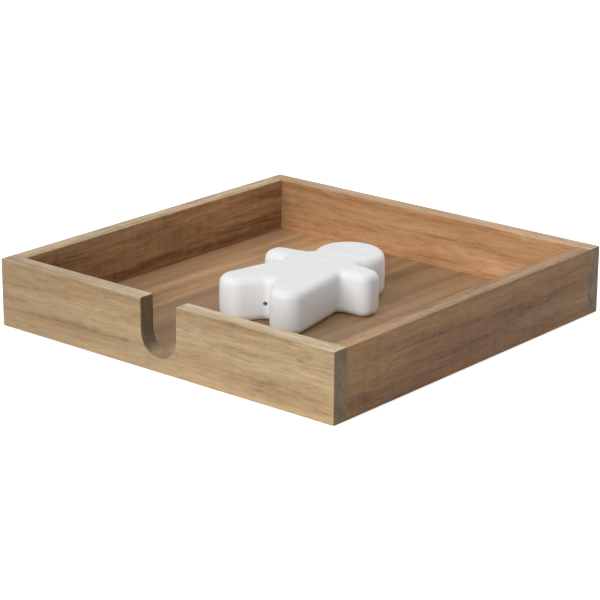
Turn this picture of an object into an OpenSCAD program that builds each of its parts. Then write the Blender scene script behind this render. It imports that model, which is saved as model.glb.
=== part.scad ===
// Square wooden napkin tray with a loose hollow porcelain figure that lies on the napkins as their weight.
// Millimetres. Origin at the middle of the underside, +Z up, the notched front wall towards -Y.
// Four boards meet in plain butt joints, each held by two hidden dowels. The floor is a panel
// of four glued staves that sits in a groove round the inside of the boards.

/* [Tray] */
// Overall width, left to right
tray_w = 240; // [200:1:300]
// Overall depth, front to back
tray_d = 240; // [200:1:300]
// Height of the walls
wall_h = 39.5; // [32:0.5:60]
// Thickness of the walls
wall_t = 10; // [8:0.5:14]
// Radius of the eased long edges of the walls
edge_r = 0.8; // [0.3:0.1:1.5]

/* [Floor panel] */
// Thickness of the panel
floor_t = 5; // [4:0.5:7]
// Height of the panel's underside above the table
floor_lift = 2.5; // [2:0.5:5]
// Width of each of the two middle staves
stave_w = 62; // [45:1:80]
// Depth of the groove that holds the panel
groove_depth = 4; // [2:0.5:5]
// Room above the panel in its groove
groove_room = 0.1; // [0.05:0.05:0.3]
// Room at the panel's edges for the wood to swell
panel_room = 0.3; // [0.1:0.1:0.8]

/* [Finger notch] */
// Width of the notch in the front wall, also twice the radius of its round bottom
notch_w = 25; // [18:0.5:40]
// Height of the notch's bottom above the floor's upper face
notch_lip = 1; // [0.5:0.5:6]

/* [Corner dowels] */
// Diameter of a dowel
dowel_d = 5; // [3:0.5:6]
// Length of a dowel
dowel_len = 20; // [14:1:30]
// Chamfer at the ends of a dowel
dowel_chamfer = 0.6; // [0.3:0.1:1]
// Number of glue flutes along a dowel
flute_count = 10; // [6:1:16]
// Radius of a glue flute
flute_r = 0.35; // [0.2:0.05:0.5]
// Room between a dowel and the wall of its hole
dowel_room = 0.05; // [0.02:0.01:0.15]
// Room for glue past each end of a dowel
dowel_end_room = 0.5; // [0.2:0.1:1.5]

/* [Weight] */
// Place of the figure's arm line on the floor, left to right
weight_x = 4; // [-20:0.5:20]
// Place of the figure's arm line on the floor, front to back
weight_y = 10.25; // [-20:0.25:30]
// Thickness of the figure
figure_h = 25.75; // [20:0.25:32]
// Rounding of the upper edge
figure_top_r = 4.75; // [2:0.25:5.5]
// Rounding of the lower edge
figure_base_r = 4.5; // [2:0.25:5.5]
// Thickness of the cast wall
shell_t = 4.5; // [3.5:0.25:5]
// Diameter of the vent hole between the legs
vent_d = 2.2; // [1.5:0.1:4]
// Height of the vent hole above the base
vent_h = 10.5; // [8:0.5:16]
// Sideways place of the vent hole
vent_x = -2; // [-2:0.25:2]

/* [Outline of the figure, from its arm line] */
// Diameter of the head
head_d = 41; // [36:0.5:46]
// Distance of the head's middle above the arm line
head_rise = 25.75; // [23:0.25:30]
// Width across the corners of the neck
neck_w = 32; // [28:0.5:35]
// Distance of the neck's corners from the head's circle
neck_gap = 0.75; // [0.75:0.25:4]
// Width across the ends of the arms
arm_span = 77; // [68:0.5:90]
// Width of an arm at its end
arm_w = 14.25; // [13.5:0.25:18]
// Width across the armpits
waist_w = 40.5; // [36:0.5:45]
// Distance of the armpits below the arm line
pit_drop = 8; // [7:0.25:12]
// Distance of the soles below the arm line
sole_drop = 59.75; // [54:0.25:68]
// Distance of the crotch below the arm line
crotch_drop = 41.75; // [36:0.25:46]
// Width across the feet
stance_w = 61.5; // [55:0.5:68]
// Width of a sole
sole_w = 18.25; // [17:0.25:20]
// Rounding of the feet
foot_r = 9.25; // [7:0.25:9.5]
// Rounding of the arms' ends
arm_r = 6.25; // [6:0.25:7]
// Rounding in the armpits
pit_r = 2.5; // [2:0.25:5]
// Rounding in the neck's corners
neck_r = 3; // [2:0.25:3.5]
// Rounding in the crotch
crotch_r = 4; // [2:0.25:6]

/* [Hidden] */
cut = 1;                                     // overrun of a cut past the face it opens
inner_w = tray_w - 2 * wall_t;
inner_d = tray_d - 2 * wall_t;
floor_z = floor_lift + floor_t;              // upper face of the floor
panel_w = inner_w + 2 * (groove_depth - panel_room);
panel_d = inner_d + 2 * (groove_depth - panel_room);
stave_x = [-panel_w / 2, -stave_w, 0, stave_w, panel_w / 2];
notch_r = notch_w / 2;
notch_z = floor_z + notch_lip + notch_r;     // middle of the notch's round bottom
dowel_seat = 0.6 * wall_t;                   // length of a dowel inside the front or back wall
dowel_x = tray_w / 2 - wall_t / 2;
dowel_y = tray_d / 2 - wall_t + dowel_seat - dowel_len / 2;
dowel_low = floor_z + groove_room + dowel_d / 2 + 4;
dowel_high = wall_h - dowel_d / 2 - 6;
wood_pale = [0.66, 0.50, 0.36];
wood_mid = [0.56, 0.41, 0.29];
wood_dark = [0.49, 0.34, 0.24];
beech = [0.78, 0.63, 0.46];
porcelain = [0.94, 0.94, 0.92];
stave_names = ["floor_stave_left", "floor_stave_mid_left", "floor_stave_mid_right", "floor_stave_right"];
stave_colours = [wood_pale, wood_dark, wood_mid, wood_pale];
// name of each dowel with its side (x), its end (y) and its height
dowels = [
    ["dowel_front_left_low", -1, -1, dowel_low],
    ["dowel_front_left_high", -1, -1, dowel_high],
    ["dowel_front_right_low", 1, -1, dowel_low],
    ["dowel_front_right_high", 1, -1, dowel_high],
    ["dowel_back_left_low", -1, 1, dowel_low],
    ["dowel_back_left_high", -1, 1, dowel_high],
    ["dowel_back_right_low", 1, 1, dowel_low],
    ["dowel_back_right_high", 1, 1, dowel_high],
];

// Wall boards

// Cross-section of a board, from its outer face at y = 0, with all four edges eased
module board_section() {
    spots = [
        [edge_r, edge_r, 180],
        [wall_t - edge_r, edge_r, 270],
        [wall_t - edge_r, wall_h - edge_r, 0],
        [edge_r, wall_h - edge_r, 90],
    ];
    polygon([
        for (s = spots, a = [0, 22.5, 45, 67.5, 90])
            [s[0] + edge_r * cos(s[2] + a), s[1] + edge_r * sin(s[2] + a)]
    ]);
}

// A board along X with its outer face at y = 0 and its inner face at y = wall_t
module board(length) {
    rotate([90, 0, 90])
        linear_extrude(length, center = true)
            board_section();
}

// Groove for the panel, cut into the inner face of a board
module groove(length) {
    translate([-length / 2, wall_t - groove_depth, floor_lift])
        cube([length, groove_depth + cut, floor_t + groove_room]);
}

// Holes for every dowel, in the tray's own frame
module dowel_holes() {
    r = dowel_d / 2 + dowel_room;
    length = dowel_len + 2 * dowel_end_room;
    for (d = dowels)
        translate([d[1] * dowel_x, d[2] * dowel_y, d[3]])
            rotate([90, 0, 0])
                cylinder(r = r, h = length, center = true, $fn = 48);
}

// Front or back board, full width, with a groove that stops short of its ends
module long_wall() {
    difference() {
        translate([0, -tray_d / 2, 0])
            difference() {
                board(tray_w);
                groove(panel_w + 2 * panel_room);
            }
        dowel_holes();
    }
}

// Slot with a round bottom for the fingers, open at the rim
module finger_notch() {
    translate([0, -tray_d / 2 + wall_t + cut, notch_z])
        rotate([90, 0, 0])
            linear_extrude(wall_t + 2 * cut)
                union() {
                    circle(r = notch_r, $fn = 96);
                    translate([-notch_r, 0])
                        square([notch_w, wall_h]);
                }
}

module front_wall() {
    color(wood_pale)
        difference() {
            long_wall();
            finger_notch();
        }
}

module back_wall() {
    color(wood_mid)
        rotate([0, 0, 180])
            long_wall();
}

// Side board, butted between the front and back boards, with a groove along its whole length
module side_wall() {
    difference() {
        rotate([0, 0, -90])
            translate([0, -tray_w / 2, 0])
                difference() {
                    board(inner_d);
                    groove(inner_d + 2 * cut);
                }
        dowel_holes();
    }
}

module left_wall() {
    color(wood_dark)
        side_wall();
}

module right_wall() {
    color(wood_mid)
        rotate([0, 0, 180])
            side_wall();
}

// Floor panel

// One stave, from one glue line to the next
module floor_stave(i) {
    color(stave_colours[i])
        translate([stave_x[i], -panel_d / 2, floor_lift])
            cube([stave_x[i + 1] - stave_x[i], panel_d, floor_t]);
}

// Corner dowels

// A fluted dowel along Z, centred
module dowel() {
    r = dowel_d / 2;
    h = dowel_len / 2;
    c = dowel_chamfer;
    difference() {
        rotate_extrude($fn = 48)
            polygon([[0, -h], [r - c, -h], [r, c - h], [r, h - c], [r - c, h], [0, h]]);
        for (i = [0:flute_count - 1])
            rotate([0, 0, i * 360 / flute_count])
                translate([r, 0, 0])
                    cylinder(r = flute_r, h = dowel_len + 2 * cut, center = true, $fn = 16);
    }
}

module placed_dowel(d) {
    color(beech)
        translate([d[1] * dowel_x, d[2] * dowel_y, d[3]])
            rotate([90, 0, 0])
                dowel();
}

// Porcelain figure

head_r = head_d / 2;
neck_drop = sqrt(max(pow(head_r + neck_gap, 2) - pow(neck_w / 2, 2), 1));
neck_y = head_rise - neck_drop;
// angle on the head's circle where the straight side of the neck touches it
head_start = atan2(-neck_drop, neck_w / 2) + acos(head_r / norm([neck_w / 2, neck_drop]));
// rounding that the tightest outward corner can carry
round_max = min(foot_r, arm_r) - 0.5;
top_r = min(figure_top_r, round_max);
base_r = min(figure_base_r, round_max);

// Corners of the right half, from the crotch round to the neck: x, y and fillet radius
right_half = [
    [0, -crotch_drop, crotch_r],
    [stance_w / 2 - sole_w, -sole_drop, foot_r],
    [stance_w / 2, -sole_drop, foot_r],
    [waist_w / 2, -pit_drop, pit_r],
    [arm_span / 2, -arm_w / 2, arm_r],
    [arm_span / 2, arm_w / 2, arm_r],
    [neck_w / 2, neck_y, neck_r],
];
left_half = [for (i = [len(right_half) - 1:-1:1]) [-right_half[i][0], right_half[i][1], right_half[i][2]]];
head_on = head_r * [cos(head_start), sin(head_start)] + [0, head_rise];
head_off = [-head_on[0], head_on[1]];

function spot(c) = [c[0], c[1]];
function unit(v) = v / norm(v);

// Arc that rounds corner v between p and q: centre, radius (below zero in an inward corner), start, sweep
function corner_arc(p, v, q) =
    let (
        a = unit(p - spot(v)),
        b = unit(q - spot(v)),
        s = sign(cross(-a, b)),
        half = acos(a * b) / 2,
        middle = spot(v) + unit(a + b) * v[2] / sin(half)
    )
    [middle, s * v[2], atan2(s * a[0], -s * a[1]), s * (180 - 2 * half)];

// All arcs of the outline, anticlockwise from the crotch
arcs = concat(
    [for (i = [0:len(right_half) - 1])
        corner_arc(
            i == 0 ? spot(left_half[len(left_half) - 1]) : spot(right_half[i - 1]),
            right_half[i],
            i == len(right_half) - 1 ? head_on : spot(right_half[i + 1]))],
    [[[0, head_rise], head_r, head_start, 180 - 2 * head_start]],
    [for (i = [0:len(left_half) - 1])
        corner_arc(
            i == 0 ? head_off : spot(left_half[i - 1]),
            left_half[i],
            i == len(left_half) - 1 ? spot(right_half[0]) : spot(left_half[i + 1]))]
);

// Points of the outline moved inwards by d, with one point every step degrees of an arc
function ring(d, step) = [
    for (a = arcs)
        let (
            n = max(2, ceil(abs(a[3]) / step)),
            r = a[1] > 0 ? max(a[1] - d, 0.05) : d - a[1]
        )
        for (i = [0:n])
            a[0] + r * [cos(a[2] + a[3] * i / n), sin(a[2] + a[3] * i / n)]
];

// Heights and insets of a solid from z0 to z1 whose edges are rounded by rb below and rt above
function rounded_profile(z0, z1, rb, rt, inset, n) = concat(
    [for (i = [0:n]) [z0 + rb * (1 - cos(90 * i / n)), inset + rb * (1 - sin(90 * i / n))]],
    [for (i = [0:n]) [z1 - rt * (1 - sin(90 * i / n)), inset + rt * (1 - cos(90 * i / n))]]
);

// Solid through the outline's rings at the heights and insets of a profile.
// Every ring can be seen whole from the figure's arm line, so a fan from there closes each end.
module loft(profile, step) {
    rings = [for (p = profile) [for (q = ring(p[1], step)) [q[0], q[1], p[0]]]];
    n = len(rings[0]);
    m = len(rings);
    base_hub = m * n;
    top_hub = base_hub + 1;
    polyhedron(
        points = concat(
            [for (r = rings, q = r) q],
            [[0, 0, profile[0][0]], [0, 0, profile[m - 1][0]]]
        ),
        faces = [
            for (i = [0:n - 1])
                let (j = (i + 1) % n)
                each concat(
                    [[base_hub, i, j]],
                    [for (k = [0:m - 2]) [k * n + i, (k + 1) * n + i, (k + 1) * n + j]],
                    [for (k = [0:m - 2]) [k * n + i, (k + 1) * n + j, k * n + j]],
                    [[top_hub, (m - 1) * n + j, (m - 1) * n + i]]
                )
        ]
    );
}

// Hollow casting, with the vent that lets air out in the kiln
module figure_weight() {
    color(porcelain)
        translate([weight_x, weight_y, floor_z])
            difference() {
                loft(rounded_profile(0, figure_h, base_r, top_r, 0, 5), 12);
                translate([0, 0, shell_t])
                    linear_extrude(figure_h - 2 * shell_t)
                        polygon(ring(shell_t, 20));
                translate([vent_x, -crotch_drop - crotch_r, vent_h])
                    rotate([-90, 0, 0])
                        cylinder(d = vent_d, h = 2 * crotch_r + 3 * shell_t, $fn = 32);
            }
}

front_wall();
back_wall();
left_wall();
right_wall();
for (i = [0:3])
    floor_stave(i);
for (d = dowels)
    placed_dowel(d);
figure_weight();
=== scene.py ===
"""Dresses a square wooden napkin tray and the loose porcelain figure that weighs the napkins down.

The four boards and the figure are modelled here in place of their plainer solids. The staves of the floor
and the hidden dowels keep their solids and get their wood. Everything is in metres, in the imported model's
frame.
"""

import math

import bmesh
import bpy
from bpy.props import FloatProperty, FloatVectorProperty, IntProperty, PointerProperty
from bpy.types import Operator, Panel, PropertyGroup
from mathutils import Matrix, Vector


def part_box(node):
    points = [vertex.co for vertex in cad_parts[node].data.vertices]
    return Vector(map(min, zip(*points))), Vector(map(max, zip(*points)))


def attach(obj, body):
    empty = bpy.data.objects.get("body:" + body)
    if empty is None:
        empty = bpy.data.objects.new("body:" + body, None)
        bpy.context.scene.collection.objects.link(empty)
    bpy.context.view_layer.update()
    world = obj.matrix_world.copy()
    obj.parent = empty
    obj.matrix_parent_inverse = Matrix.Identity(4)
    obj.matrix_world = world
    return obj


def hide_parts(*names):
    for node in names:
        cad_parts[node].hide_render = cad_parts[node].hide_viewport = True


bl_info = {
    "name": "Napkin tray with weight",
    "version": (1, 0, 0),
    "blender": (4, 5, 0),
    "location": "3D View > Sidebar > Napkin tray",
    "description": "Models and dresses a wooden napkin tray and its porcelain weight",
    "category": "Object",
}

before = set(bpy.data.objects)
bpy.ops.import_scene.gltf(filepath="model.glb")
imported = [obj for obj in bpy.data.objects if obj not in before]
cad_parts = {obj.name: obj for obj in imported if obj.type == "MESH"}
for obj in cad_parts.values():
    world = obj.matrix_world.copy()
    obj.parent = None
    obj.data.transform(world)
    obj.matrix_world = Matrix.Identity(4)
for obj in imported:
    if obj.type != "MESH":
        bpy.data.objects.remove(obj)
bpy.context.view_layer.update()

TRAY_BODY = "tray"
WEIGHT_BODY = "weight"
LONG_BOARDS = ("front_wall", "back_wall")
SIDE_BOARDS = ("left_wall", "right_wall")
STAVES = ("floor_stave_left", "floor_stave_mid_left", "floor_stave_mid_right", "floor_stave_right")
DOWELS = tuple(sorted(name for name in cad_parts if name.startswith("dowel_")))
FIGURE = "figure_weight"
MM = 0.001
TINY = 1e-6

# Wood: the wood's noises by repeats per metre along and across the grain, detail and roughness
RING_WIDTH = 7 * MM
HALF_LENGTH = 120 * MM
BOARD_SPAN = ("Z", 4 * MM, 36 * MM)
NOISES = {
    "broad": (2.4, 36, 2, 0.5),
    "band": (7, 105, 2, 0.5),
    "middle": (22, 300, 3, 0.6),
    "fine": (90, 900, 3, 0.65),
    "pores": (110, 1900, 1, 0.5),
    "vein_lines": (6, 70, 3, 0.5),
    "vein_fade": (12, 40, 1, 0.5),
    "curl": (330, 60, 2, 0.5),
    "hue": (9, 70, 3, 0.55),
}
STRAW_TINT = (0.98, 1.01, 1.03)
WARM_TINT = (1.04, 0.98, 0.92)
END_DARK = (0.045, 0.03, 0.017)
END_LIGHT = (0.16, 0.105, 0.055)

# Wood of each piece: how light it is at its ends and sides, partly its own tone and partly painted
# light and shade, and the tint of its rim, wear with a painted sheen
FLOOR_GRAIN = {"grain": "Y", "contrast": 0.7, "coarse": 2.2}
FLOOR_SEED = 4.1
FLOOR_SEED_STEP = 1.37
FLOOR_PITH = (0.07, -0.05)
FLOOR_PITH_STEP = 0.05
STAVE_SHADES = (
    {"sides": (1.6, 1.15), "ends": (0.75, 1.35)},
    {"sides": (1.3, 1.0)},
    {"sides": (1.1, 0.88), "ends": (0.9, 1.35)},
    {"sides": (0.95, 1.05)},
)
BOARD_GRAIN = {
    "front_wall": {
        "grain": "X",
        "seed": 0.31,
        "contrast": 0.75,
        "shimmer": 0.15,
        "pith": (0.05, 0.11),
        "ends": (0.85, 1.2),
        "rim": (1.8, 2.05, 2.5),
    },
    "back_wall": {
        "grain": "X",
        "seed": 1.73,
        "contrast": 1.1,
        "shimmer": 0.12,
        "pith": (-0.03, -0.08),
        "ends": (0.92, 1.3),
        "sides": (1.15, 0.85),
        "rim": (1.25, 1.5, 1.9),
    },
    "left_wall": {
        "grain": "Y",
        "seed": 2.29,
        "contrast": 1.4,
        "shimmer": 0.4,
        "pith": (-0.04, 0.09),
        "ends": (0.85, 1.15),
        "sides": (0.9, 1.0),
        "rim": (1.5, 2.0, 2.6),
    },
    "right_wall": {
        "grain": "Y",
        "seed": 3.87,
        "contrast": 1.1,
        "shimmer": 0.4,
        "pith": (0.06, -0.07),
        "ends": (1.05, 0.95),
        "rim": (2.05, 2.4, 3.3),
    },
}

# Figure: piped trim in millimetres from the crossing of the arm line and the middle, for the right side
KNEE_CUFFS = {"first": (13.0, -44.7), "step": (1.6, -2.3), "run": (0.82, 0.57), "length": 13}
WRIST_CUFFS = {"first": (23.0, 0.4), "step": (2.8, 0), "run": (0.05, 1), "length": 7.5}
CUFF_COUNT = 3
SIDE_DOTS = {"first": (13.5, -9.5), "step": (0.95, -4.7), "count": 6, "radius": 1.2, "rise": 1.4}
EYE = {"place": (6.4, 34.0), "radius": 1.8, "rise": 1.2}
BUTTON_LEVELS = (2.0, -10.0, -22.0)
BUTTON_RADIUS = 2.2
SMILE = {"middle": 26.5, "radius": 11.5, "half_turn": 52, "step": 4}
SMOOTH_ANGLE = math.radians(40)

# Stage: suns by turn from the front towards the right, height and width, all in degrees
CAMERA_PLACE = (0.79108, -0.95146, 0.41817)
CAMERA_TURN = (71.78297, -0.31493, 39.93609)
CAMERA_LENS = 137.579
FLOOR_SIZE = 12
LIGHT_DISTANCE = 2
SOFTBOXES = {
    "key": {"turn": 0, "rise": 25, "width": 36},
    "right": {"turn": 60, "rise": 25, "width": 40},
    "back": {"turn": 180, "rise": 25, "width": 40},
}


# Sizes and colours that a user would change


def millimetres(name, description, default):
    return FloatProperty(
        name=name, description=description, default=default * MM, unit="LENGTH", precision=5
    )


def colour(name, description, default):
    return FloatVectorProperty(
        name=name, description=description, default=default, subtype="COLOR", size=3, min=0, max=1
    )


def strength(name, description, default):
    return FloatProperty(name=name, description=description, default=default, min=0)


class BoardSizes(PropertyGroup):
    """Shape of the four boards"""

    edge_radius: millimetres("Eased edge", "Radius of the sanded edges", 0.8)
    joint_radius: millimetres("Joint edge", "Radius of the edges that meet in the corner joints", 0.12)
    notch_width: millimetres("Notch width", "Width of the finger notch", 25)
    notch_bottom: millimetres("Notch bottom", "Height of the notch's lowest point above the table", 8.5)
    groove_room: millimetres("Groove room", "Room above the floor panel in its groove", 0.1)
    panel_room: millimetres("Panel room", "Room round the floor panel in its groove", 0.3)
    dowel_room: millimetres("Dowel room", "Room round a dowel in its hole", 0.05)
    dowel_end_room: millimetres("Dowel end room", "Room past the end of a dowel", 0.5)


class FigureSizes(PropertyGroup):
    """Outline of the figure, measured from the crossing of its arm line and its middle"""

    sole_drop: millimetres("Soles", "Distance of the soles below the arm line", 59.75)
    crotch_drop: millimetres("Crotch", "Distance of the crotch below the arm line", 41.75)
    stance_width: millimetres("Stance", "Width across the feet", 61.5)
    sole_width: millimetres("Sole", "Width of one sole", 18.25)
    waist_width: millimetres("Waist", "Width across the armpits", 40.5)
    pit_drop: millimetres("Armpits", "Distance of the armpits below the arm line", 8)
    arm_span: millimetres("Arm span", "Width across the ends of the arms", 77)
    arm_width: millimetres("Arm", "Width of an arm at its end", 14.25)
    neck_width: millimetres("Neck", "Width across the corners of the neck", 32)
    neck_gap: millimetres("Neck gap", "Distance of the neck's corners from the head's circle", 0.75)
    head_diameter: millimetres("Head", "Diameter of the head", 41)
    head_rise: millimetres("Head rise", "Distance of the head's middle above the arm line", 25.75)
    foot_radius: millimetres("Foot rounding", "Rounding of the feet", 9.25)
    arm_radius: millimetres("Arm rounding", "Rounding of the arms' ends", 6.25)
    pit_radius: millimetres("Armpit rounding", "Rounding in the armpits", 2.5)
    neck_radius: millimetres("Neck rounding", "Rounding in the neck's corners", 3)
    crotch_radius: millimetres("Crotch rounding", "Rounding in the crotch", 4)
    top_radius: millimetres("Upper edge", "Rounding of the upper edge", 4.75)
    base_radius: millimetres("Lower edge", "Rounding of the lower edge", 4.5)
    swell: millimetres("Swell", "How much further the sides stand out at half height", 0.5)
    vent_diameter: millimetres("Vent", "Diameter of the vent hole between the legs", 2.2)
    vent_height: millimetres("Vent height", "Height of the vent hole above the base", 10.5)
    vent_shift: millimetres("Vent shift", "Sideways place of the vent hole", -2)
    vent_depth: millimetres("Vent depth", "Depth of the vent hole", 9)
    icing_width: millimetres("Icing width", "Width of the piped lines on the figure", 1.6)
    icing_height: millimetres("Icing height", "Height of the piped lines above the figure's face", 0.38)
    faint_height: millimetres("Faint icing height", "Height of the fainter trim", 0.65)
    grid: millimetres("Surface grid", "Size of the squares that the glazed surface is made of", 0.55)
    softening: IntProperty(
        name="Softening", description="How often the glazed surface is smoothed", default=8, min=0
    )


class Looks(PropertyGroup):
    """Colours of the woods, the glaze and the stage"""

    front_dark: colour("Front dark", "Dark streaks of the front board", (0.145, 0.075, 0.03))
    front_light: colour("Front light", "Ground of the front board", (0.37, 0.28, 0.162))
    right_dark: colour("Right dark", "Dark streaks of the right board", (0.08, 0.03, 0.01))
    right_light: colour("Right light", "Ground of the right board", (0.2, 0.11, 0.045))
    back_dark: colour("Back dark", "Dark streaks of the back board", (0.235, 0.105, 0.04))
    back_light: colour("Back light", "Ground of the back board", (0.5, 0.295, 0.15))
    left_dark: colour("Left dark", "Dark streaks of the left board", (0.145, 0.06, 0.02))
    left_light: colour("Left light", "Ground of the left board", (0.39, 0.23, 0.115))
    floor_dark: colour("Floor dark", "Dark streaks of the floor", (0.2, 0.105, 0.05))
    floor_light: colour("Floor light", "Ground of the floor", (0.345, 0.225, 0.125))
    dowel_dark: colour("Dowel dark", "Dark streaks of the dowels", (0.46, 0.31, 0.17))
    dowel_light: colour("Dowel light", "Ground of the dowels", (0.62, 0.45, 0.28))
    glaze: colour("Glaze", "White of the glaze", (0.74, 0.745, 0.75))
    glaze_cool: colour("Cool glaze", "White where the glaze lies thick", (0.72, 0.735, 0.745))
    # painted shade: a dark colour for the walls of the vent hole, standing in for the shade inside it
    vent_painted_shade: colour("Vent", "Shaded clay inside the vent hole", (0.3, 0.29, 0.28))
    bisque: colour("Bisque", "Bare body under the base", (0.70, 0.66, 0.60))
    stage_floor: colour("Stage floor", "Pale floor under the tray", (0.97, 0.97, 0.97))
    key_strength: strength("Key light", "Strength of the large soft light in front", 2.15)
    right_strength: strength("Right light", "Strength of the soft light on the right", 0.2)
    back_strength: strength("Back light", "Strength of the soft light behind", 1.2)
    fill_strength: strength("Fill light", "Strength of the light from all round", 0.6)
    table_glow: strength("Light table", "Glow of the pale floor, which takes the shadows off it", 0.4)


# Helpers for modelling


def pick_only(piece):
    """Selects one object and makes it the active one"""
    if bpy.context.object and bpy.context.object.mode != "OBJECT":
        bpy.ops.object.mode_set(mode="OBJECT")
    bpy.ops.object.select_all(action="DESELECT")
    piece.select_set(True)
    bpy.context.view_layer.objects.active = piece


def added(name):
    """The primitive that was just added, with its place and size put into its mesh"""
    piece = bpy.context.object
    piece.name = name
    piece.data.name = name
    bpy.ops.object.transform_apply(location=True, rotation=True, scale=True)
    return piece


def add_block(name, low, high):
    bpy.ops.object.select_all(action="DESELECT")
    bpy.ops.mesh.primitive_cube_add(size=1, location=(low + high) / 2, scale=high - low)
    return added(name)


def add_rod(name, middle, radius, length, vertices):
    """A cylinder along Y"""
    bpy.ops.object.select_all(action="DESELECT")
    bpy.ops.mesh.primitive_cylinder_add(
        vertices=vertices, radius=radius, depth=length, location=middle, rotation=(math.pi / 2, 0, 0)
    )
    return added(name)


def edit(piece, element):
    """Goes into edit mode with nothing selected"""
    pick_only(piece)
    bpy.ops.object.mode_set(mode="EDIT")
    bpy.ops.mesh.select_mode(type=element)
    bpy.ops.mesh.select_all(action="DESELECT")
    return bmesh.from_edit_mesh(piece.data)


def leave_edit(piece):
    bmesh.update_edit_mesh(piece.data)
    bpy.ops.object.mode_set(mode="OBJECT")


def apply_modifier(piece, kind, **settings):
    pick_only(piece)
    modifier = piece.modifiers.new(kind.lower(), kind)
    for key, value in settings.items():
        setattr(modifier, key, value)
    bpy.ops.object.modifier_apply(modifier=modifier.name)


def cut_away(piece, cutter, **settings):
    """Takes the cutter's space out of the piece and removes the cutter"""
    apply_modifier(piece, "BOOLEAN", operation="DIFFERENCE", solver="EXACT", object=cutter, **settings)
    bpy.data.objects.remove(cutter, do_unlink=True)


def round_edges(piece, chosen, radius, segments):
    """Bevels the sharp edges that chosen() accepts by their two ends"""
    mesh = edit(piece, "EDGE")
    sharp = math.radians(35)
    for edge in mesh.edges:
        if edge.is_manifold and edge.calc_face_angle(0) > sharp:
            edge.select_set(chosen(edge.verts[0].co, edge.verts[1].co))
    mesh.select_flush_mode()
    bmesh.update_edit_mesh(piece.data)
    bpy.ops.mesh.bevel(offset_type="OFFSET", offset=radius, segments=segments, profile=0.5, affect="EDGES")
    leave_edit(piece)


def smooth_faces(piece):
    """Smooth shading that keeps large faces flat"""
    pick_only(piece)
    bpy.ops.object.shade_smooth_by_angle(angle=SMOOTH_ANGLE)
    apply_modifier(piece, "WEIGHTED_NORMAL", mode="FACE_AREA", weight=100, keep_sharp=True)


def dress(piece, material):
    piece.data.materials.clear()
    piece.data.materials.append(material)


# Materials


class NodeTree:
    """Short words for building a material out of nodes"""

    def __init__(self, name):
        self.material = bpy.data.materials.new(name)
        self.material.use_nodes = True
        self.tree = self.material.node_tree
        self.shader = self.tree.nodes["Principled BSDF"]

    def node(self, kind, inputs=None, **settings):
        made = self.tree.nodes.new("ShaderNode" + kind)
        for key, value in settings.items():
            setattr(made, key, value)
        for key, value in (inputs or {}).items():
            self.put(made.inputs[key], value)
        return made

    def put(self, socket, value):
        if isinstance(value, bpy.types.NodeSocket):
            self.tree.links.new(value, socket)
        else:
            socket.default_value = value

    def shade(self, **inputs):
        for key, value in inputs.items():
            self.put(self.shader.inputs[key.replace("_", " ").title().replace("Ior", "IOR")], value)

    def maths(self, operation, first, second=0.0, third=0.0):
        made = self.node("Math", {0: first, 1: second, 2: third}, operation=operation)
        return made.outputs[0]

    def stretched(self, vector, scale, location=(0, 0, 0)):
        made = self.node("Mapping", {"Vector": vector, "Scale": scale, "Location": location})
        return made.outputs[0]

    def streaks(self, vector, kind):
        """One of the wood's noises, drawn out along the grain"""
        along, across, detail, roughness = NOISES[kind]
        return self.noise(self.stretched(vector, (along, across, across)), 1, detail, roughness)

    def noise(self, vector, scale, detail=2.0, roughness=0.5):
        inputs = {"Vector": vector, "Scale": scale, "Detail": detail, "Roughness": roughness}
        return self.node("TexNoise", inputs).outputs["Fac"]

    def between(self, value, low, high, start=0.0, end=1.0):
        """Spreads low to high of a value over start to end, and stops there"""
        inputs = {"Value": value, "From Min": low, "From Max": high, "To Min": start, "To Max": end}
        return self.node("MapRange", inputs, clamp=True).outputs["Result"]

    def blend(self, share, first, second, mode="MIX"):
        made = self.node("Mix", data_type="RGBA", blend_type=mode, clamp_factor=True)
        self.put(made.inputs["Factor"], share)
        self.put(made.inputs["A"], first if isinstance(first, bpy.types.NodeSocket) else (*first, 1.0))
        self.put(made.inputs["B"], second if isinstance(second, bpy.types.NodeSocket) else (*second, 1.0))
        return made.outputs["Result"]


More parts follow.
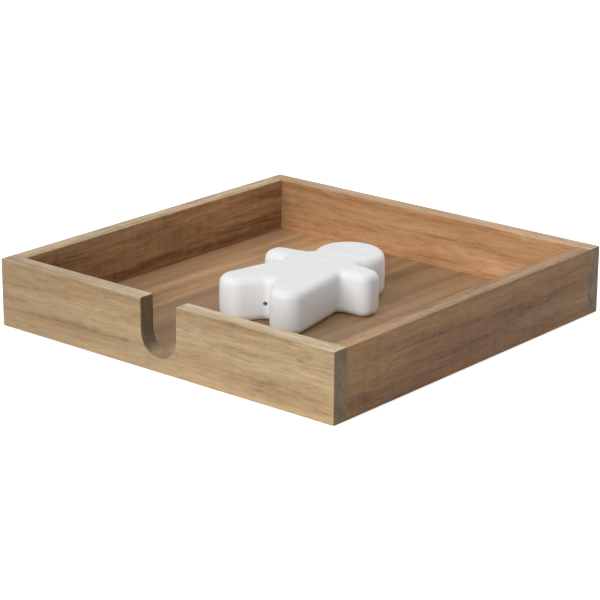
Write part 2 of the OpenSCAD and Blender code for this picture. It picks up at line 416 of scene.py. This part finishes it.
def wood(
    name,
    dark,
    light,
    grain,
    seed,
    contrast=1.0,
    coarse=1.0,
    shimmer=0.0,
    pith=(0.05, 0.09),
    ends=None,
    sides=None,
    span=BOARD_SPAN,
    rim=None,
):
    """Oiled board whose grain runs along one axis, with growth rings round a pith beside the board.

    ends say how light the wood is at the two ends of the grain, and sides how light it is at the two edges
    of the span across it; both are partly the wood's own tone and partly painted light and shade. rim is
    the
    tint of its upper edge: wear with a painted sheen.
    """
    nodes = NodeTree(name)
    place = nodes.node("TexCoord").outputs["Object"]
    turn = {"X": (0, 0, 0), "Y": (0, 0, -math.pi / 2)}[grain]
    along = nodes.node("Mapping", {"Vector": place, "Rotation": turn}).outputs[0]
    shifted = nodes.node("Mapping", {"Vector": along, "Location": (seed, 0, 0)}).outputs[0]

    # the grain wanders a little on its way along the board
    slow = nodes.stretched(shifted, (7, 16, 16))
    drift = nodes.node("TexNoise", {"Vector": slow, "Scale": 1, "Detail": 3}).outputs["Color"]
    offset = nodes.node("VectorMath", {0: drift, 1: (0.5, 0.5, 0.5)}, operation="SUBTRACT")
    wander = (0, 10 * MM, 10 * MM)
    offset = nodes.node("VectorMath", {0: offset.outputs[0], 1: wander}, operation="MULTIPLY")
    waved = nodes.node("VectorMath", {0: shifted, 1: offset.outputs[0]}, operation="ADD").outputs[0]

    # growth rings round the pith: soft pale early wood that ends in a dark line
    centred = nodes.node("Mapping", {"Vector": waved, "Location": (0, -pith[0], -pith[1])}).outputs[0]
    rings = nodes.node(
        "TexWave",
        {"Vector": centred, "Scale": 2 * math.pi / 20 / RING_WIDTH, "Distortion": 0.0},
        wave_type="RINGS",
        rings_direction="X",
        wave_profile="SAW",
    ).outputs["Fac"]
    late = nodes.maths("POWER", rings, 3.0)

    # streaks of several widths, and pores
    broad = nodes.streaks(waved, "broad")
    band = nodes.streaks(waved, "band")
    middle = nodes.streaks(waved, "middle")
    fine = nodes.streaks(waved, "fine")
    pore_mask = nodes.between(nodes.streaks(waved, "pores"), 0.58, 0.74)

    # thin dark veins along the lines where a slow noise crosses its middle
    crossing = nodes.maths("SUBTRACT", nodes.streaks(waved, "vein_lines"), 0.5)
    crossing = nodes.maths("ABSOLUTE", crossing)
    vein_fade = nodes.between(nodes.streaks(waved, "vein_fade"), 0.4, 0.65)
    veins = nodes.maths("MULTIPLY", nodes.between(crossing, 0.0, 0.03, 1.0, 0.0), vein_fade)

    # all of these add up to a middle tone of 0.55
    average = (0.76 + 0.95 * coarse) * contrast
    tone = nodes.maths("MULTIPLY_ADD", broad, 0.9 * coarse * contrast, 0.55 - average)
    tone = nodes.maths("MULTIPLY_ADD", band, 1.0 * coarse * contrast, tone)
    tone = nodes.maths("MULTIPLY_ADD", middle, 0.9 * contrast, tone)
    tone = nodes.maths("MULTIPLY_ADD", fine, 0.8 * contrast, tone)
    tone = nodes.maths("MULTIPLY_ADD", late, -0.18 * contrast, tone)
    tone = nodes.maths("MULTIPLY_ADD", veins, -0.2 * contrast, tone)
    if shimmer:
        curl = nodes.maths("SUBTRACT", nodes.streaks(waved, "curl"), 0.5)
        tone = nodes.maths("MULTIPLY_ADD", curl, shimmer, tone)
    tone = nodes.between(tone, 0.0, 1.0)
    ground = nodes.blend(tone, dark, light)

    # warm and straw-coloured areas
    hue = nodes.between(nodes.streaks(waved, "hue"), 0.36, 0.64)
    ground = nodes.blend(1.0, ground, nodes.blend(hue, STRAW_TINT, WARM_TINT), "MULTIPLY")
    axes = nodes.node("SeparateXYZ", {0: along}).outputs
    # painted light and shade, partly the wood's own tone: lighter or darker towards the ends and the edges
    if ends:
        shade = nodes.between(axes["X"], -HALF_LENGTH, HALF_LENGTH, *ends)
        ground = nodes.blend(1.0, ground, shade, "MULTIPLY")
    if sides:
        shade = nodes.between(axes[span[0]], *span[1:], *sides)
        ground = nodes.blend(1.0, ground, shade, "MULTIPLY")
    pore_tone = [channel * 0.6 for channel in dark]
    ground = nodes.blend(nodes.maths("MULTIPLY", pore_mask, 0.35), ground, pore_tone)

    facing = nodes.node("SeparateXYZ", {0: nodes.node("TexCoord").outputs["Normal"]}).outputs
    # painted sheen with wear: the rim tint makes the upper edge paler
    if rim:
        rim_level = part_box("front_wall")[1].z
        worn_and_sheen = nodes.between(axes["Z"], rim_level - 0.5 * MM, rim_level - 0.1 * MM)
        ground = nodes.blend(worn_and_sheen, ground, nodes.blend(1.0, ground, rim, "MULTIPLY"))

    # end grain drinks more oil, so that it is dark and looks alike on all boards
    end_grain = nodes.between(nodes.maths("ABSOLUTE", facing[grain]), 0.4, 0.8)
    soaked = nodes.blend(tone, END_DARK, END_LIGHT)
    nodes.shade(base_color=nodes.blend(end_grain, ground, soaked))

    nodes.shader.inputs["Specular IOR Level"].default_value = 0.2
    roughness = nodes.maths("MULTIPLY_ADD", middle, 0.2, 0.38)
    nodes.shade(roughness=nodes.maths("MULTIPLY_ADD", pore_mask, 0.15, roughness))
    height = nodes.maths("MULTIPLY_ADD", fine, 0.5, nodes.maths("MULTIPLY", pore_mask, -0.9))
    bump = nodes.node("Bump", {"Height": height, "Strength": 0.3, "Distance": 0.12 * MM})
    nodes.shade(normal=bump.outputs[0])
    return nodes.material


def porcelain(looks, base):
    """Soft white glaze over a casting whose base is wiped bare"""
    nodes = NodeTree("white_glaze")
    place = nodes.node("TexCoord").outputs["Object"]
    thick = nodes.noise(place, 40, 1, 0.4)
    glaze = nodes.blend(thick, looks.glaze, looks.glaze_cool)
    height = nodes.node("SeparateXYZ", {0: place}).outputs["Z"]
    bare = nodes.between(height, base + 0.25 * MM, base + 0.45 * MM, 1.0, 0.0)
    nodes.shade(base_color=nodes.blend(bare, glaze, looks.bisque))
    nodes.shade(roughness=nodes.maths("MULTIPLY_ADD", bare, 0.3, 0.5))
    nodes.shader.inputs["Specular IOR Level"].default_value = 0.15
    return nodes.material


# Boards


def floor_panel_box():
    """Lowest and highest corner of the glued floor panel"""
    boxes = [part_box(name) for name in STAVES]
    low = Vector(min(box[0][i] for box in boxes) for i in range(3))
    high = Vector(max(box[1][i] for box in boxes) for i in range(3))
    return low, high


def cut_groove_and_holes(board, sizes):
    """Makes room for the floor panel and the dowels"""
    low, high = floor_panel_box()
    room = Vector((sizes.panel_room, sizes.panel_room, 0))
    cut_away(board, add_block("groove", low - room, high + room + Vector((0, 0, sizes.groove_room))))
    reach = [board.matrix_world @ Vector(corner) for corner in board.bound_box]
    for name in DOWELS:
        low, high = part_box(name)
        inside = all(
            min(p[i] for p in reach) < high[i] and max(p[i] for p in reach) > low[i] for i in range(3)
        )
        if inside:
            radius = (high.z - low.z) / 2 + sizes.dowel_room
            length = high.y - low.y + 2 * sizes.dowel_end_room
            cut_away(board, add_rod("dowel_hole", (low + high) / 2, radius, length, 48))


def cut_finger_notch(board, sizes):
    """A slot with a round bottom, open at the rim"""
    low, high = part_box("front_wall")
    radius = sizes.notch_width / 2
    middle = Vector((0, (low.y + high.y) / 2, sizes.notch_bottom + radius))
    cutter = add_rod("finger_slot", middle, radius, 2 * (high.y - low.y), 96)
    mesh = edit(cutter, "VERT")
    for vertex in mesh.verts:
        vertex.select_set(vertex.co.z > middle.z + TINY)
    mesh.select_flush_mode()
    bmesh.update_edit_mesh(cutter.data)
    bpy.ops.transform.translate(value=(0, 0, high.z))
    leave_edit(cutter)
    cut_away(board, cutter)


def make_long_board(node, sizes):
    """Front or back board: its inner edges stay sharp where a side board butts against it"""
    low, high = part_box(node)
    board = add_block(node.replace("wall", "board"), low, high)
    if node == "front_wall":
        cut_finger_notch(board, sizes)
    inner_y = max(low.y, high.y, key=lambda y: -abs(y))
    joint_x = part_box("right_wall")[0].x
    for x in (-joint_x, joint_x):
        edit(board, "VERT")
        bpy.ops.mesh.select_all(action="SELECT")
        bpy.ops.mesh.bisect(plane_co=(x, 0, 0), plane_no=(1, 0, 0))
        leave_edit(board)

    def eased(first, second):
        at_joint = abs(first.y - inner_y) < TINY and abs(second.y - inner_y) < TINY
        return not (at_joint and abs((first.x + second.x) / 2) > joint_x + TINY)

    round_edges(board, eased, sizes.edge_radius, 4)
    return board


def make_side_board(node, sizes):
    """Left or right board: its ends are square, for a tight butt joint"""
    low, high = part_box(node)
    board = add_block(node.replace("wall", "board"), low, high)

    def along(first, second):
        return abs(first.y - second.y) > TINY

    def across(first, second):
        return abs(first.y - second.y) < TINY

    round_edges(board, along, sizes.edge_radius, 4)
    round_edges(board, across, sizes.joint_radius, 1)
    return board


class TRAY_OT_boards(Operator):
    """Model the four boards with eased edges, groove, dowel holes and finger notch"""

    bl_idname = "napkin_tray.boards"
    bl_label = "Make the boards"

    def execute(self, context):
        sizes = context.scene.tray_boards
        looks = context.scene.tray_looks
        for node in LONG_BOARDS + SIDE_BOARDS:
            side = node.split("_")[0]
            tones = getattr(looks, side + "_dark"), getattr(looks, side + "_light")
            material = wood(side + "_wood", *tones, **BOARD_GRAIN[node])
            board = make_long_board(node, sizes) if node in LONG_BOARDS else make_side_board(node, sizes)
            cut_groove_and_holes(board, sizes)
            smooth_faces(board)
            dress(board, material)
            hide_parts(node)
            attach(board, TRAY_BODY)
        return {"FINISHED"}


# Floor and dowels


class TRAY_OT_floor(Operator):
    """Give each stave of the floor its own piece of wood"""

    bl_idname = "napkin_tray.floor"
    bl_label = "Finish the floor"

    def execute(self, context):
        looks = context.scene.tray_looks
        for i, name in enumerate(STAVES):
            low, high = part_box(name)
            material = wood(
                name + "_wood",
                looks.floor_dark,
                looks.floor_light,
                seed=FLOOR_SEED + FLOOR_SEED_STEP * i,
                pith=(FLOOR_PITH[0] - FLOOR_PITH_STEP * i, FLOOR_PITH[1]),
                span=("Y", -high.x, -low.x),
                **FLOOR_GRAIN,
                **STAVE_SHADES[i],
            )
            dress(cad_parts[name], material)
        return {"FINISHED"}


class TRAY_OT_dowels(Operator):
    """Give the hidden dowels their plain pale wood"""

    bl_idname = "napkin_tray.dowels"
    bl_label = "Finish the dowels"

    def execute(self, context):
        looks = context.scene.tray_looks
        material = wood("dowel_wood", looks.dowel_dark, looks.dowel_light, "Y", 9.2, contrast=0.6)
        for name in DOWELS:
            dress(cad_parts[name], material)
        return {"FINISHED"}


# Porcelain figure


def corner_arc(before, corner, after, radius):
    """Centre, signed radius, start and sweep of the arc that rounds a corner of an anticlockwise outline"""
    back = (before - corner).normalized()
    on = (after - corner).normalized()
    bend = 1.0 if on.x * back.y - on.y * back.x > 0 else -1.0
    half = math.acos(max(-1.0, min(1.0, back.dot(on)))) / 2
    middle = corner + (back + on).normalized() * radius / math.sin(half)
    return middle, bend * radius, math.atan2(bend * back.x, -bend * back.y), bend * (math.pi - 2 * half)


def figure_outline(sizes):
    """Points of the figure's side, anticlockwise from the crotch, seen from above"""
    head = sizes.head_diameter / 2
    half_neck = sizes.neck_width / 2
    neck_drop = math.sqrt((head + sizes.neck_gap) ** 2 - half_neck**2)
    foot = sizes.stance_width / 2
    right = [
        (Vector((0, -sizes.crotch_drop)), sizes.crotch_radius),
        (Vector((foot - sizes.sole_width, -sizes.sole_drop)), sizes.foot_radius),
        (Vector((foot, -sizes.sole_drop)), sizes.foot_radius),
        (Vector((sizes.waist_width / 2, -sizes.pit_drop)), sizes.pit_radius),
        (Vector((sizes.arm_span / 2, -sizes.arm_width / 2)), sizes.arm_radius),
        (Vector((sizes.arm_span / 2, sizes.arm_width / 2)), sizes.arm_radius),
        (Vector((half_neck, sizes.head_rise - neck_drop)), sizes.neck_radius),
    ]
    left = [(Vector((-place.x, place.y)), radius) for place, radius in reversed(right[1:])]
    start = math.atan2(-neck_drop, half_neck) + math.acos(head / math.hypot(half_neck, neck_drop))
    crown = Vector((0, sizes.head_rise))
    touch = crown + head * Vector((math.cos(start), math.sin(start)))
    mirrored = Vector((-touch.x, touch.y))

    path = [right[-1][0]] + [touch, mirrored] + [left[0][0]]
    arcs = []
    for i, (place, radius) in enumerate(right):
        before = left[-1][0] if i == 0 else right[i - 1][0]
        after = path[1] if i == len(right) - 1 else right[i + 1][0]
        arcs.append(corner_arc(before, place, after, radius))
    arcs.append((crown, head, start, math.pi - 2 * start))
    for i, (place, radius) in enumerate(left):
        before = path[2] if i == 0 else left[i - 1][0]
        after = right[0][0] if i == len(left) - 1 else left[i + 1][0]
        arcs.append(corner_arc(before, place, after, radius))

    points = []
    for middle, radius, first, sweep in arcs:
        steps = max(4, math.ceil(abs(math.degrees(sweep)) / 4))
        for k in range(steps + 1):
            angle = first + sweep * k / steps
            points.append(middle + abs(radius) * Vector((math.cos(angle), math.sin(angle))))
    return points


def pipe_icing(line, width, height, face):
    """A low piped line on the figure's face, flattened into it"""
    data = bpy.data.curves.new("icing", "CURVE")
    data.dimensions = "3D"
    data.bevel_depth = width / 2
    data.bevel_resolution = 3
    data.use_fill_caps = True
    spline = data.splines.new("POLY")
    spline.points.add(len(line) - 1)
    for point, place in zip(spline.points, line):
        point.co = (place.x, place.y, face, 1)
    icing = bpy.data.objects.new("icing", data)
    bpy.context.scene.collection.objects.link(icing)
    pick_only(icing)
    bpy.ops.object.convert(target="MESH")
    flatten(icing, face, 2 * height / width)
    return icing


def flatten(piece, face, share):
    """Squeezes a piece towards the level of the figure's face"""
    edit(piece, "VERT")
    bpy.ops.mesh.select_all(action="SELECT")
    bpy.ops.transform.resize(value=(1, 1, share), center_override=(0, 0, face))
    leave_edit(piece)


def icing_dot(place, radius, height, face):
    """A round drop of icing, such as a button or an eye"""
    bpy.ops.object.select_all(action="DESELECT")
    middle = (place.x, place.y, face)
    bpy.ops.mesh.primitive_uv_sphere_add(segments=32, ring_count=16, radius=radius, location=middle)
    drop = added("drop")
    flatten(drop, face, height / radius)
    return drop


def cuff_line(middle, run, length):
    """A straight line across a limb, centred on it"""
    half = run.normalized() * length / 2
    return [middle - half, middle - half / 3, middle + half / 3, middle + half]


def figure_icing(sizes, home, face):
    """Traditional piped trim: cuffs on arms and legs, dots down the sides, buttons, eyes and a smile"""
    width, faint = sizes.icing_width, sizes.faint_height

    def spot(x, y):
        return home + Vector((x, y)) * MM

    def along_row(row, k, side):
        (x, y), (step_x, step_y) = row["first"], row["step"]
        return spot(side * (x + step_x * k), y + step_y * k)

    made = []
    for side in (-1, 1):
        for k in range(CUFF_COUNT):
            for cuffs, height in ((KNEE_CUFFS, sizes.icing_height), (WRIST_CUFFS, faint)):
                run = Vector((side * cuffs["run"][0], cuffs["run"][1]))
                line = cuff_line(along_row(cuffs, k, side), run, cuffs["length"] * MM)
                made.append(pipe_icing(line, width, height, face))
        for k in range(SIDE_DOTS["count"]):
            place = along_row(SIDE_DOTS, k, side)
            made.append(icing_dot(place, SIDE_DOTS["radius"] * MM, SIDE_DOTS["rise"] * faint, face))
        eye = spot(side * EYE["place"][0], EYE["place"][1])
        made.append(icing_dot(eye, EYE["radius"] * MM, EYE["rise"] * faint, face))
    for y in BUTTON_LEVELS:
        made.append(icing_dot(spot(0, y), BUTTON_RADIUS * MM, faint, face))
    half_turn, radius = SMILE["half_turn"], SMILE["radius"]
    turns = [math.radians(k) for k in range(-half_turn, half_turn + 1, SMILE["step"])]
    smile = [spot(radius * math.sin(a), SMILE["middle"] - radius * math.cos(a)) for a in turns]
    made.append(pipe_icing(smile, width, faint, face))
    return made


def figure_casting(sizes):
    """The bare casting: outline, thickness and rounded edges"""
    low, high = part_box(FIGURE)
    home = Vector(((low.x + high.x) / 2, low.y + sizes.sole_drop))
    outline = figure_outline(sizes)
    bpy.ops.object.select_all(action="DESELECT")
    bpy.ops.mesh.primitive_circle_add(vertices=len(outline), radius=0.05, fill_type="NGON")
    casting = added("porcelain_figure")
    for vertex, place in zip(casting.data.vertices, outline):
        vertex.co = (home.x + place.x, home.y + place.y, low.z)
    edit(casting, "FACE")
    bpy.ops.mesh.select_all(action="SELECT")
    bpy.ops.mesh.extrude_region_move(TRANSFORM_OT_translate={"value": (0, 0, high.z - low.z)})
    bpy.ops.mesh.select_all(action="SELECT")
    bpy.ops.mesh.normals_make_consistent(inside=False)
    leave_edit(casting)

    def on_top(first, second):
        return min(first.z, second.z) > high.z - TINY

    def on_base(first, second):
        return max(first.z, second.z) < low.z + TINY

    round_edges(casting, on_top, sizes.top_radius, 8)
    round_edges(casting, on_base, sizes.base_radius, 8)
    return casting, home, high.z


def swell_sides(casting, sizes):
    """Lets the sides stand out softly at half height and draw in above and below it, as on a casting"""
    low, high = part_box(FIGURE)
    middle, half = (low.z + high.z) / 2, (high.z - low.z) / 2
    mesh = edit(casting, "VERT")
    mesh.normal_update()
    outward = [Vector((vertex.normal.x, vertex.normal.y, 0)) for vertex in mesh.verts]
    for vertex, way in zip(mesh.verts, outward):
        level = (vertex.co.z - middle) / half
        vertex.co += way * sizes.swell * (0.5 - level**2)
    leave_edit(casting)


def cut_vent(casting, sizes, home, painted_shade_clay):
    """The hole between the legs that let the air out in the kiln"""
    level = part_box(FIGURE)[0].z + sizes.vent_height
    crotch = Vector((home.x + sizes.vent_shift, home.y - sizes.crotch_drop, level))
    drill = add_rod("vent", crotch, sizes.vent_diameter / 2, 2 * sizes.vent_depth, 32)
    # the drill's painted shade colour goes onto the walls of the hole
    dress(drill, painted_shade_clay)
    cut_away(casting, drill, material_mode="TRANSFER")


class TRAY_OT_figure(Operator):
    """Model the glazed figure with its piped trim as one soft surface"""

    bl_idname = "napkin_tray.figure"
    bl_label = "Make the figure"

    def execute(self, context):
        sizes = context.scene.tray_figure
        casting, home, face = figure_casting(sizes)
        trim = figure_icing(sizes, home, face)
        pick_only(casting)
        for line in trim:
            line.select_set(True)
        bpy.ops.object.join()
        apply_modifier(casting, "REMESH", mode="VOXEL", voxel_size=sizes.grid, adaptivity=0.0)
        apply_modifier(casting, "SMOOTH", factor=0.5, iterations=sizes.softening)
        swell_sides(casting, sizes)
        looks = context.scene.tray_looks
        dress(casting, porcelain(looks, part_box(FIGURE)[0].z))
        # painted shade: the vent's walls get a dark colour that stands in for the shade inside the hole
        painted_shade_clay = NodeTree("vent_clay")
        painted_shade_clay.shade(base_color=(*looks.vent_painted_shade, 1), roughness=0.9)
        cut_vent(casting, sizes, home, painted_shade_clay.material)
        pick_only(casting)
        bpy.ops.object.shade_smooth_by_angle(angle=SMOOTH_ANGLE)
        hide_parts(FIGURE)
        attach(casting, WEIGHT_BODY)
        return {"FINISHED"}


# Stage


class TRAY_OT_stage(Operator):
    """Set the pale floor, the soft light and the camera"""

    bl_idname = "napkin_tray.stage"
    bl_label = "Set the stage"

    def execute(self, context):
        looks = context.scene.tray_looks
        bpy.ops.object.select_all(action="DESELECT")
        bpy.ops.mesh.primitive_plane_add(size=FLOOR_SIZE)
        ground = added("stage_floor")
        pale = NodeTree("pale_floor")
        pale.shade(base_color=(*looks.stage_floor, 1), roughness=0.9)
        pale.shade(emission_color=(1, 1, 1, 1), emission_strength=looks.table_glow)
        dress(ground, pale.material)

        for side, box in SOFTBOXES.items():
            turn, rise = math.radians(box["turn"]), math.radians(box["rise"])
            level = math.cos(rise)
            away = Vector((math.sin(turn) * level, -math.cos(turn) * level, math.sin(rise)))
            bpy.ops.object.light_add(type="SUN", location=LIGHT_DISTANCE * away)
            light = context.object
            light.name = side + "_softbox"
            light.data.energy = getattr(looks, side + "_strength")
            light.data.angle = math.radians(box["width"])
            light.rotation_euler = (-away).to_track_quat("-Z", "Y").to_euler()

        world = context.scene.world or bpy.data.worlds.new("studio")
        context.scene.world = world
        world.use_nodes = True
        sky = world.node_tree.nodes["Background"]
        sky.inputs["Color"].default_value = (1, 1, 1, 1)
        sky.inputs["Strength"].default_value = looks.fill_strength

        bpy.ops.object.camera_add(location=CAMERA_PLACE)
        camera = context.object
        camera.name = "photo_camera"
        camera.rotation_euler = [math.radians(angle) for angle in CAMERA_TURN]
        camera.data.sensor_width = 36
        camera.data.lens = CAMERA_LENS
        camera.data.clip_end = 50
        context.scene.camera = camera
        context.scene.view_settings.view_transform = "Standard"
        context.scene.view_settings.look = "None"
        return {"FINISHED"}


class TRAY_PT_panel(Panel):
    """Lists the steps in order"""

    bl_idname = "TRAY_PT_panel"
    bl_label = "Napkin tray"
    bl_space_type = "VIEW_3D"
    bl_region_type = "UI"
    bl_category = "Napkin tray"

    def draw(self, context):
        for step in STEPS:
            self.layout.operator(step.bl_idname)


STEPS = (TRAY_OT_boards, TRAY_OT_floor, TRAY_OT_dowels, TRAY_OT_figure, TRAY_OT_stage)
CLASSES = (BoardSizes, FigureSizes, Looks, *STEPS, TRAY_PT_panel)


def register():
    for made in CLASSES:
        bpy.utils.register_class(made)
    bpy.types.Scene.tray_boards = PointerProperty(type=BoardSizes)
    bpy.types.Scene.tray_figure = PointerProperty(type=FigureSizes)
    bpy.types.Scene.tray_looks = PointerProperty(type=Looks)


def unregister():
    del bpy.types.Scene.tray_boards
    del bpy.types.Scene.tray_figure
    del bpy.types.Scene.tray_looks
    for made in reversed(CLASSES):
        bpy.utils.unregister_class(made)


def main():
    register()
    bpy.ops.napkin_tray.boards()
    bpy.ops.napkin_tray.floor()
    bpy.ops.napkin_tray.dowels()
    bpy.ops.napkin_tray.figure()
    bpy.ops.napkin_tray.stage()


if __name__ == "__main__":
    main()
